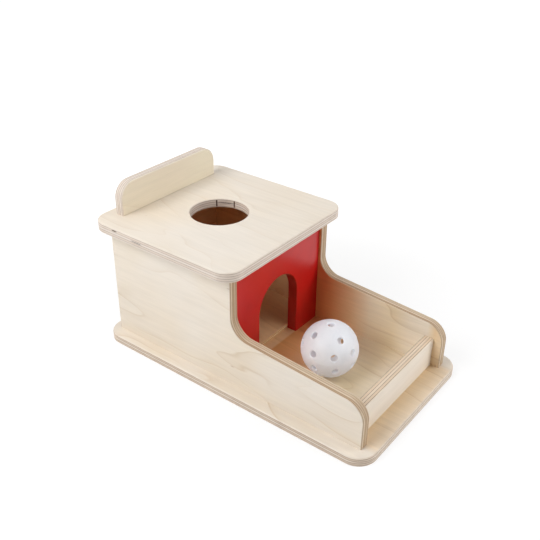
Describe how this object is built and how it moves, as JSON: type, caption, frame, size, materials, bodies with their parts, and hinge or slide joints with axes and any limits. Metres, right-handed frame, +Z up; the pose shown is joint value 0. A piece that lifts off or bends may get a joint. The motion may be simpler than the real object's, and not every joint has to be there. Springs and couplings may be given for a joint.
{
  "type": "object permanence box",
  "caption": "Wooden toy box with a round ball hole in its top board, an arched doorway with a ramp behind it, and an open tray where a perforated ball rolls.",
  "frame": {"origin": "on the rest face, below the middle of the whole outline", "axes": "+X from the box to the tray's front wall, +Y to the right-hand side as seen from the tray, +Z up"},
  "size_m": [0.2874, 0.1624, 0.153],
  "materials": {
    "birch_plywood": "sanded birch plywood with a clear matt varnish",
    "red_gloss_paint": "plywood with red gloss paint",
    "beech": "unfinished beech",
    "white_plastic": "satin polyethylene",
    "zinc_plated_steel": "zinc plated"
  },
  "bodies": {
    "box": {"base_board": "birch_plywood", "left_side_panel": "birch_plywood", "right_side_panel": "birch_plywood", "back_panel": "birch_plywood", "top_board": "birch_plywood", "backstop": "birch_plywood", "door_panel": "red_gloss_paint", "tray_front_wall": "birch_plywood", "ramp_board": "birch_plywood", "ramp_batten": "beech", "top_dowels": "beech", "backstop_dowels": "beech", "back_panel_dowels": "beech", "door_panel_dowels": "beech", "front_wall_dowels": "beech", "base_screws": "zinc_plated_steel", "ramp_pins": "zinc_plated_steel"},
    "ball": {"ball": "white_plastic"}
  },
  "joints": [
    {"name": "ball_roll", "type": "slide", "parent": "box", "child": "ball", "axis": [0.9972, -0.0753, 0], "range_m": [-0.054, 0.0312]}
  ]
}
